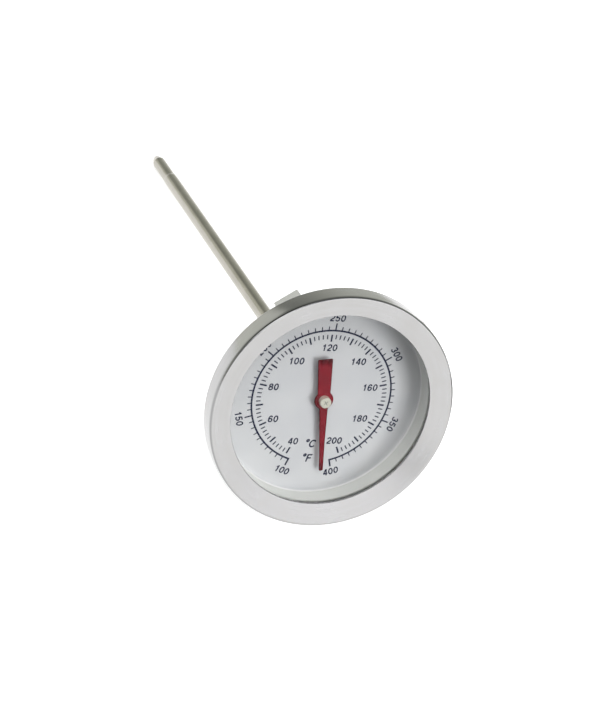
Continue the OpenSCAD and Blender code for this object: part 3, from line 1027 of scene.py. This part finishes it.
def folded(w, h):
    """The blank's middle surface after bending. Across the stem, w below 0 is rolled round the eye
    and w above 0 is flat. Along the stem, h below 0 is straight, and above 0 it goes round the
    hairpin, back along the leaf and out along the lip."""
    turn = np.minimum(w, 0) / middle_r
    x = np.where(w < 0, middle_r * np.sin(turn), w)
    y = np.where(w < 0, middle_r * np.cos(turn), middle_r)
    bend = np.clip(h / bend_r, 0, math.pi)
    leaf = np.clip(h - math.pi * bend_r, 0, LEAF_LENGTH)
    lip = np.clip(h - math.pi * bend_r - LEAF_LENGTH, 0, None) / (LIP_R + CLIP_SHEET / 2)
    y = y - bend_r * (1 - np.cos(bend)) - (LIP_R + CLIP_SHEET / 2) * (1 - np.cos(lip))
    along = np.minimum(h, 0) + bend_r * np.sin(bend) - leaf - (LIP_R + CLIP_SHEET / 2) * np.sin(lip)
    return on_clip(x, y, along)


lip_length = LIP_TURN * (LIP_R + CLIP_SHEET / 2)
h_lines = np.concatenate([
    np.linspace(-PLATE_LENGTH, -EYE_LENGTH, 5)[:-1],
    np.linspace(-EYE_LENGTH, 0, 12)[:-1],
    np.linspace(0, math.pi * bend_r, 25)[:-1],
    np.linspace(0, LEAF_LENGTH, 10)[:-1] + math.pi * bend_r,
    np.linspace(0, lip_length, 9) + math.pi * bend_r + LEAF_LENGTH,
])
w_lines = np.concatenate([
    np.linspace(-eye_sweep * middle_r, 0, 49)[:-1],
    np.linspace(0, PLATE_START, 4)[:-1],
    [PLATE_START],
    np.linspace(LEAF_START, PLATE_REACH, 8),
])
w_grid, h_grid = np.meshgrid(w_lines, h_lines)
blank = folded(w_grid, h_grid)
w_mid = (w_grid[:-1, :-1] + w_grid[1:, 1:]) / 2
h_mid = (h_grid[:-1, :-1] + h_grid[1:, 1:]) / 2
eye_part = (w_mid < PLATE_START) & (h_mid > -EYE_LENGTH) & (h_mid < 0)
plate_part = (w_mid > PLATE_START) & (h_mid < 0)
leaf_part = (w_mid > LEAF_START) & (h_mid > 0)
index = np.arange(w_grid.size).reshape(w_grid.shape)
quads = np.stack([index[:-1, :-1], index[:-1, 1:], index[1:, 1:], index[1:, :-1]], -1)
quads = quads[eye_part | plate_part | leaf_part]
used, packed = np.unique(quads, return_inverse=True)
clip_mesh = bpy.data.meshes.new("pan_clip_folded")
clip_mesh.from_pydata(blank.reshape(-1, 3)[used], [], packed.reshape(-1, 4))
clip_mesh.polygons.foreach_set("use_smooth", np.ones(len(clip_mesh.polygons), bool))
clip = bpy.data.objects.new("pan_clip_folded", clip_mesh)
bpy.context.scene.collection.objects.link(clip)
wall_up = clip.modifiers.new("sheet", "SOLIDIFY")
wall_up.thickness = CLIP_SHEET * MM
wall_up.offset = 0.0
wall_up.use_even_offset = True
edges = clip.modifiers.new("edges", "BEVEL")
edges.width = 0.12 * MM
edges.segments = 3
edges.limit_method = "ANGLE"
edges.angle_limit = math.radians(50)
edges.harden_normals = True
fit(clip, spring_steel, "clip", "clip_steel", "pan_clip")

# ---- Floor and light ------------------------------------------------------------------------
# A plain white sheet under a wide, even sky, with two large soft lamps. A graded backdrop behind the
# head and three cards, by the camera, in front and beside, only show in the bright metal.
FLOOR_HALF = 6.0
floor_mesh = bpy.data.meshes.new("floor")
floor_mesh.from_pydata(
    [(-FLOOR_HALF, -FLOOR_HALF, 0), (FLOOR_HALF, -FLOOR_HALF, 0),
     (FLOOR_HALF, FLOOR_HALF, 0), (-FLOOR_HALF, FLOOR_HALF, 0)], [], [(0, 1, 2, 3)],
)
floor = bpy.data.objects.new("floor", floor_mesh)
bpy.context.scene.collection.objects.link(floor)
floor_paper = Finish(
    "white_paper", Base_Color=(0.82, 0.82, 0.82, 1.0), Roughness=0.9, Specular_IOR_Level=0.1,
    Emission_Color=(1.0, 1.0, 1.0, 1.0), Emission_Strength=0.72,
)
floor_mesh.materials.append(floor_paper.material)
floor.visible_diffuse = False
floor.visible_transmission = False


def stage_reflection(name, mesh, finish):
    """Stands a mesh beside the object so that it shows only in reflections."""
    mesh.materials.append(finish.material)
    thing = bpy.data.objects.new(name, mesh)
    thing.visible_camera = False
    thing.visible_diffuse = False
    thing.visible_transmission = False
    thing.visible_shadow = False
    bpy.context.scene.collection.objects.link(thing)


def card(name, azimuth, rise, distance, width, height, colour, glow=0.0):
    """A card that faces the head from a compass angle, clockwise from the stem's way, and a height
    angle: its middle is the head's centre plus the distance along them."""
    azimuth, rise = math.radians(azimuth), math.radians(rise)
    away = Vector((math.sin(azimuth) * math.cos(rise), math.cos(azimuth) * math.cos(rise), math.sin(rise)))
    across = away.cross(Vector((0, 0, 1))).normalized()
    up = across.cross(away)
    middle = Vector(face_centre) + away * distance
    corners = [middle + across * a * width / 2 + up * b * height / 2
               for a, b in ((-1, -1), (1, -1), (1, 1), (-1, 1))]
    mesh = bpy.data.meshes.new(name)
    mesh.from_pydata(corners, [], [(0, 1, 2, 3)])
    matt = Finish(
        name, Base_Color=(*colour, 1.0), Roughness=0.9, Specular_IOR_Level=0.0,
        Emission_Color=(1.0, 1.0, 1.0, 1.0), Emission_Strength=glow,
    )
    stage_reflection(name, mesh, matt)


def backdrop(name, distance, azimuths, rises, tones):
    """A sheet bent round behind the head, from the left to the right and up overhead: each point is
    the head's centre plus the distance along a compass angle and a height angle. Its tone is read
    between the rows and columns of the table."""
    azimuth = np.linspace(azimuths[0], azimuths[-1], 190)
    rise = np.linspace(rises[0], rises[-1], 90)
    rows = np.stack([np.interp(azimuth, azimuths, row) for row in tones])
    tone = np.stack([np.interp(rise, rises, column) for column in rows.T], -1)
    azimuth, rise = np.meshgrid(np.radians(azimuth), np.radians(rise))
    away = np.stack([np.sin(azimuth) * np.cos(rise), np.cos(azimuth) * np.cos(rise), np.sin(rise)], -1)
    points = face_centre + distance * away
    index = np.arange(azimuth.size).reshape(azimuth.shape)
    quads = np.stack([index[:-1, :-1], index[:-1, 1:], index[1:, 1:], index[1:, :-1]], -1)
    mesh = bpy.data.meshes.new(name)
    mesh.from_pydata(points.reshape(-1, 3), [], quads.reshape(-1, 4))
    paint = mesh.attributes.new("tone", "FLOAT", "POINT")
    paint.data.foreach_set("value", tone.ravel().astype(np.float32))
    cloth = Finish(
        name, Base_Color=(0.0, 0.0, 0.0, 1.0), Roughness=1.0, Specular_IOR_Level=0.0, Emission_Strength=1.0,
    )
    level = cloth.node("ShaderNodeAttribute", {"attribute_name": "tone"}, {}, output="Fac")
    cloth.feed("Emission Color", cloth.mix(level, (0.0, 0.005, 0.0), (0.98, 1.0, 0.91)))
    stage_reflection(name, mesh, cloth)


backdrop(
    "graded_backdrop", 1.4,
    [-125, -60, -33, -17, -13, 0, 20, 45, 110],
    [-8, 5, 18, 28, 34, 42, 60, 80],
    [
        [0.95, 0.95, 1.00, 1.00, 0.70, 0.60, 0.75, 0.85, 0.95],
        [0.95, 0.95, 1.00, 1.00, 0.50, 0.50, 0.70, 0.80, 0.90],
        [0.60, 0.60, 0.85, 0.95, 0.32, 0.45, 0.72, 0.80, 0.70],
        [0.20, 0.20, 0.55, 0.80, 0.24, 0.40, 0.70, 0.75, 0.60],
        [0.06, 0.06, 0.30, 0.45, 0.22, 0.38, 0.65, 0.70, 0.50],
        [0.03, 0.03, 0.08, 0.10, 0.15, 0.32, 0.50, 0.50, 0.40],
        [0.04, 0.04, 0.04, 0.04, 0.05, 0.10, 0.12, 0.15, 0.20],
        [0.35, 0.35, 0.35, 0.35, 0.35, 0.35, 0.35, 0.35, 0.35],
    ],
)
card("bright_card_by_camera", 205, 39, 1.0, 0.62, 0.52, (0.9, 0.9, 0.9), 2.3)
card("bright_card_in_front", 160, 14, 1.2, 1.2, 0.65, (0.9, 0.9, 0.95), 1.35)
card("dark_card_beside", 80, -28, 0.10, 0.18, 0.09, (0.04, 0.04, 0.04))


def lamp(name, spot, size, power):
    """A square soft lamp that faces the head."""
    light = bpy.data.lights.new(name, "AREA")
    light.size = size
    light.energy = power
    thing = bpy.data.objects.new(name, light)
    aim_at = Vector(face_centre) - Vector(spot)
    thing.matrix_world = Matrix.Translation(spot) @ aim_at.to_track_quat("-Z", "Y").to_matrix().to_4x4()
    thing.visible_camera = False
    thing.visible_glossy = False
    thing.visible_transmission = False
    bpy.context.scene.collection.objects.link(thing)


lamp("front_lamp", (0.60, -1.20, 0.30), 0.6, 11.8)
lamp("top_lamp", (-0.1, -0.65, 1.2), 0.9, 12.0)

sky = bpy.data.worlds.new("sky")
sky.use_nodes = True
sky.node_tree.nodes["Background"].inputs["Color"].default_value = (0.93, 0.94, 0.95, 1.0)
sky.node_tree.nodes["Background"].inputs["Strength"].default_value = 0.32
bpy.context.scene.world = sky
bpy.context.scene.view_settings.view_transform = "Standard"
